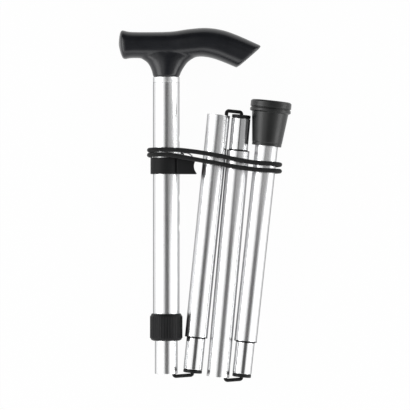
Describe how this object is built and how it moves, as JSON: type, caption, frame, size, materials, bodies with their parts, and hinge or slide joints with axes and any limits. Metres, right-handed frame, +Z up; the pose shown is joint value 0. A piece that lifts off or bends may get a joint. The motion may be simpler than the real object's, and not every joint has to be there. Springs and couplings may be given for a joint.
{
  "type": "folding walking pole",
  "caption": "Folding walking pole with a T handle: telescopic upper tubes, sections joined by an elastic cord, a turning clip, wrist lanyard and rubber tip. Stored folded flat.",
  "frame": {"origin": "middle of the folded pole's bounding box, on the surface that it lies on", "axes": "+Y along the handle tube towards the handle, +X from the handle tube towards the folded sections, +Z up from the surface"},
  "size_m": [0.1456, 0.298, 0.0344],
  "materials": {
    "polished_aluminium": "bright polished, clear",
    "bright_steel": "bright plated",
    "black_plastic": "satin moulded",
    "black_rubber": "dull",
    "black_cord": "braided"
  },
  "bodies": {
    "handle_section": {"handle": "black_plastic", "nose_cap": "black_plastic", "outer_tube": "polished_aluminium", "split_bush": "black_plastic"},
    "collar": {"locking_collar": "black_plastic"},
    "lower_section": {"lower_tube": "polished_aluminium", "guide_bush": "black_plastic", "upper_cord_anchor": "black_plastic", "upper_cord_knot": "black_cord", "button_spring": "bright_steel", "cord_run_1": "black_cord"},
    "button": {"snap_button": "bright_steel"},
    "elbow_1": {"cord_bend_1": "black_cord"},
    "section_2": {"tube_2": "polished_aluminium", "spigot_2": "polished_aluminium", "spigot_plug_2": "black_plastic", "cord_run_2": "black_cord"},
    "elbow_2": {"cord_bend_2": "black_cord"},
    "section_3": {"tube_3": "polished_aluminium", "spigot_3": "polished_aluminium", "spigot_plug_3": "black_plastic", "cord_run_3": "black_cord"},
    "elbow_3": {"cord_bend_3": "black_cord"},
    "section_4": {"tube_4": "polished_aluminium", "spigot_4": "polished_aluminium", "spigot_plug_4": "black_plastic", "cord_run_4": "black_cord", "rubber_tip": "black_rubber", "tip_washer": "bright_steel", "lower_cord_anchor": "black_plastic", "lower_cord_knot": "black_cord"},
    "clip": {"tube_clip": "black_plastic", "lanyard_loop": "black_cord", "short_sleeve": "black_rubber", "lanyard_connector": "bright_steel", "long_sleeve": "black_rubber", "wrist_loop": "black_cord"},
    "ring": {"split_ring": "bright_steel"}
  },
  "joints": [
    {"name": "height_slide", "type": "slide", "parent": "handle_section", "child": "lower_section", "axis": [0, -1, 0], "range_m": [0, 0.075]},
    {"name": "seat_1", "type": "slide", "parent": "lower_section", "child": "elbow_1", "axis": [0, 1, 0], "range_m": [0, 0.0327], "deforming": ["cord_run_1"]},
    {"name": "fold_1", "type": "hinge", "parent": "elbow_1", "child": "section_2", "pos_m": [-0.02167, -0.14243, 0.0172], "axis": [0, 0, -1], "range_deg": [0, 174.18], "deforming": ["cord_bend_1", "wrist_loop"]},
    {"name": "seat_2", "type": "slide", "parent": "section_2", "child": "elbow_2", "axis": [-0.1014, -0.9948, 0], "range_m": [0, 0.0327], "deforming": ["cord_run_2"]},
    {"name": "fold_2", "type": "hinge", "parent": "elbow_2", "child": "section_3", "pos_m": [0.02127, 0.07725, 0.0172], "axis": [0, 0, 1], "range_deg": [0, 179.34], "deforming": ["cord_bend_2"]},
    {"name": "seat_3", "type": "slide", "parent": "section_3", "child": "elbow_3", "axis": [0.0898, 0.996, 0], "range_m": [0, 0.0327], "deforming": ["cord_run_3"]},
    {"name": "fold_3", "type": "hinge", "parent": "elbow_3", "child": "section_4", "pos_m": [0.02063, -0.14599, 0.0172], "axis": [0, 0, -1], "range_deg": [0, 178.97], "deforming": ["cord_bend_3"]},
    {"name": "clip_turn", "type": "hinge", "parent": "handle_section", "child": "clip", "pos_m": [-0.03262, 0.03292, 0.0172], "axis": [0, 1, 0], "range_deg": [0, 180]},
    {"name": "ring_swing", "type": "hinge", "parent": "clip", "child": "ring", "pos_m": [-0.02392, 0.03677, 0.0036], "axis": [0, 1, 0], "range_deg": [0, 75], "deforming": ["lanyard_loop"]},
    {"name": "collar_turn", "type": "hinge", "parent": "handle_section", "child": "collar", "pos_m": [-0.03262, -0.10263, 0.0172], "axis": [0, 1, 0], "range_deg": [0, 180]},
    {"name": "button_release", "type": "slide", "parent": "lower_section", "child": "button", "axis": [1, 0, 0], "range_m": [0, 0.005], "stiffness_N_per_m": 300, "springref_m": 0.006}
  ],
  "couplings": [
    {"joint": "fold_2", "follows": "fold_1", "ratio": 1.0295},
    {"joint": "fold_3", "follows": "fold_1", "ratio": 1.0274}
  ]
}
